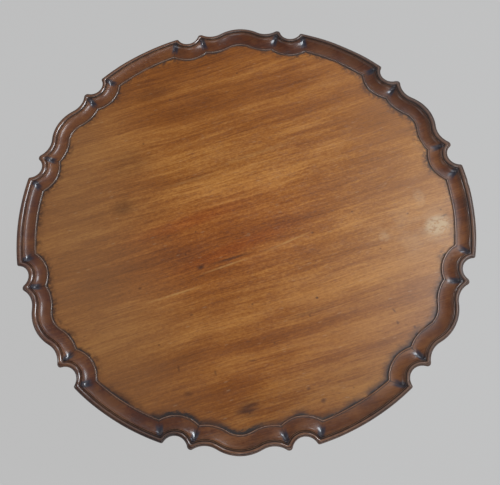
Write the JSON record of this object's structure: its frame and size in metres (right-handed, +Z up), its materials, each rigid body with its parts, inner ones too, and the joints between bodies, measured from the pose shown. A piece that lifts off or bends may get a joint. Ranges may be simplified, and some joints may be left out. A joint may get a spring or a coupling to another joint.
{
  "type": "tripod table",
  "caption": "Tilt-top tripod tea table: scalloped moulded-rim top on a turning birdcage, turned pillar, curved legs with pad feet and a brass catch.",
  "frame": {"origin": "on the floor under the pillar's axis", "axes": "+Z up; X along the pintles and the grain of the top; the tipped top faces -Y"},
  "size_m": [0.7594, 0.76, 0.716],
  "materials": {
    "top_wood": "waxed and polished old mahogany, golden brown field, darker red-brown carved rim",
    "base_wood": "polished dark mahogany",
    "brass": "aged brass",
    "iron": "blackened wrought iron",
    "steel": "dull old steel screws"
  },
  "bodies": {
    "base": {"pillar": "base_wood", "leg_1": "base_wood", "leg_2": "base_wood", "leg_3": "base_wood", "stay_plate": "iron", "stay_screw_1": "steel", "stay_screw_2": "steel", "stay_screw_3": "steel", "stay_screw_4": "steel", "stay_screw_5": "steel", "stay_screw_6": "steel", "cage_collar": "base_wood", "cage_wedge": "base_wood"},
    "cage": {"cage_lower_plate": "base_wood", "cage_upper_plate": "base_wood", "cage_baluster_1": "base_wood", "cage_baluster_2": "base_wood", "cage_baluster_3": "base_wood", "cage_baluster_4": "base_wood", "catch_keeper": "brass", "keeper_screw_1": "brass", "keeper_screw_2": "brass"},
    "top": {"table_top": "top_wood", "bearer_left": "base_wood", "bearer_right": "base_wood", "bearer_screw_1": "steel", "bearer_screw_2": "steel", "bearer_screw_3": "steel", "bearer_screw_4": "steel", "bearer_screw_5": "steel", "bearer_screw_6": "steel", "catch_plate": "brass", "catch_screw_1": "brass", "catch_screw_2": "brass", "catch_screw_3": "brass", "catch_screw_4": "brass"},
    "bolt": {"catch_bolt": "brass", "catch_knob": "brass"}
  },
  "joints": [
    {"name": "cage_revolve", "type": "hinge", "parent": "base", "child": "cage", "pos_m": [0, 0, 0.5624], "axis": [0, 0, 1], "continuous": true},
    {"name": "top_tilt", "type": "hinge", "parent": "cage", "child": "top", "pos_m": [0, -0.083, 0.6767], "axis": [1, 0, 0], "range_deg": [0, 90]},
    {"name": "bolt_slide", "type": "slide", "parent": "top", "child": "bolt", "axis": [0, -1, 0], "range_m": [0, 0.009]}
  ]
}
